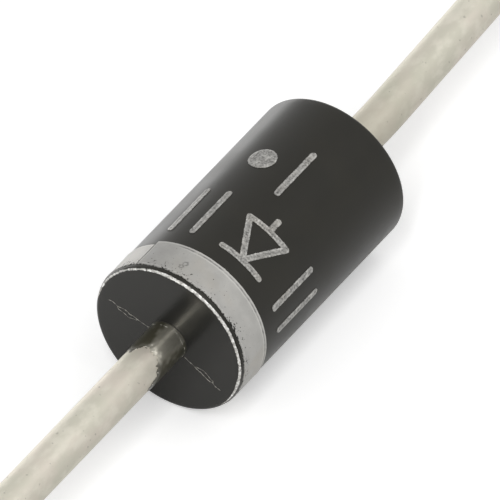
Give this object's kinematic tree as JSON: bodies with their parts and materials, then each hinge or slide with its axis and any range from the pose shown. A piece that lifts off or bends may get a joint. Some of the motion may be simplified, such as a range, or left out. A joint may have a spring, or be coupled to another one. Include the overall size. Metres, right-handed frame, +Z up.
{
  "type": "axial rectifier diode",
  "caption": "Cylindrical black epoxy rectifier diode with a silver cathode band and tinned wire leads leaving both ends along its axis.",
  "frame": {"origin": "middle of the moulded case, on its axis", "axes": "+X along the axis towards the anode lead's free end, -X towards the banded cathode end, +Z up, with the case lying on its side"},
  "size_m": [0.06, 0.0052, 0.0052],
  "materials": {
    "black_epoxy": "satin",
    "silver_ink": "satin",
    "tinned_copper": "satin",
    "solder": "satin",
    "silicon": "satin",
    "silicone_rubber": "matte"
  },
  "bodies": {
    "root": {"moulded_case": "black_epoxy", "cathode_band": "silver_ink", "marking": "silver_ink", "cathode_lead": "tinned_copper", "anode_lead": "tinned_copper", "cathode_solder": "solder", "anode_solder": "solder", "silicon_die": "silicon", "junction_coating": "silicone_rubber"}
  },
  "joints": []
}
